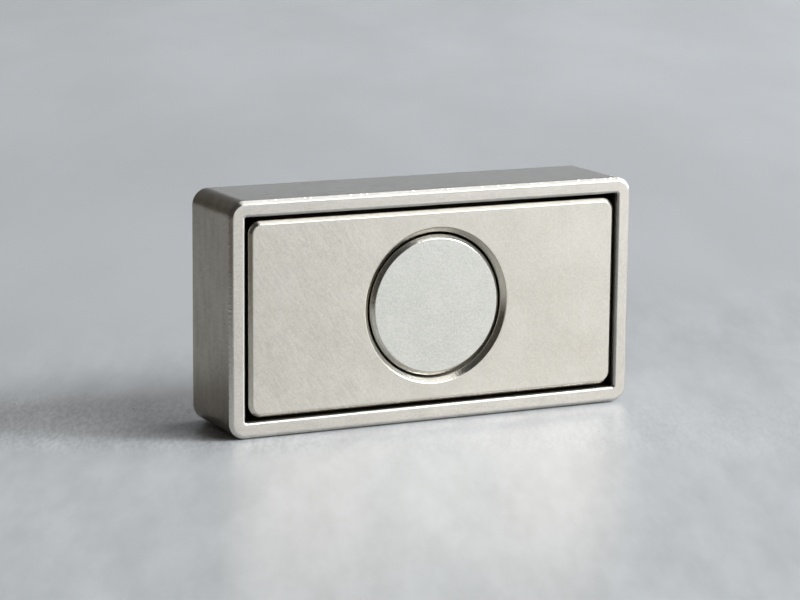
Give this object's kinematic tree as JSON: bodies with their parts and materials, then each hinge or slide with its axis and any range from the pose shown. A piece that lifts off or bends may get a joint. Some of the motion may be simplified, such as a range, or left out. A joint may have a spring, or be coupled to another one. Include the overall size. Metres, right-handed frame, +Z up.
{
  "type": "pot magnet",
  "caption": "Rectangular holding magnet: a nickel-plated steel cup around a block magnet, which has a round steel pole piece set in a bore through its middle.",
  "frame": {"origin": "middle of the long side that the magnet stands on", "axes": "+X along the length, +Y from the holding face to the back, +Z up across the width of the face"},
  "size_m": [0.04, 0.0092, 0.0211],
  "materials": {
    "pot_nickel": "satin nickel plating on steel",
    "magnet_nickel": "satin nickel plating on a sintered magnet",
    "pole_nickel": "satin nickel plating on steel, finely beaded",
    "epoxy": "cured dark epoxy"
  },
  "bodies": {
    "root": {"pot": "pot_nickel", "block_magnet": "magnet_nickel", "centre_pole": "pole_nickel", "adhesive_bed": "epoxy"}
  },
  "joints": []
}
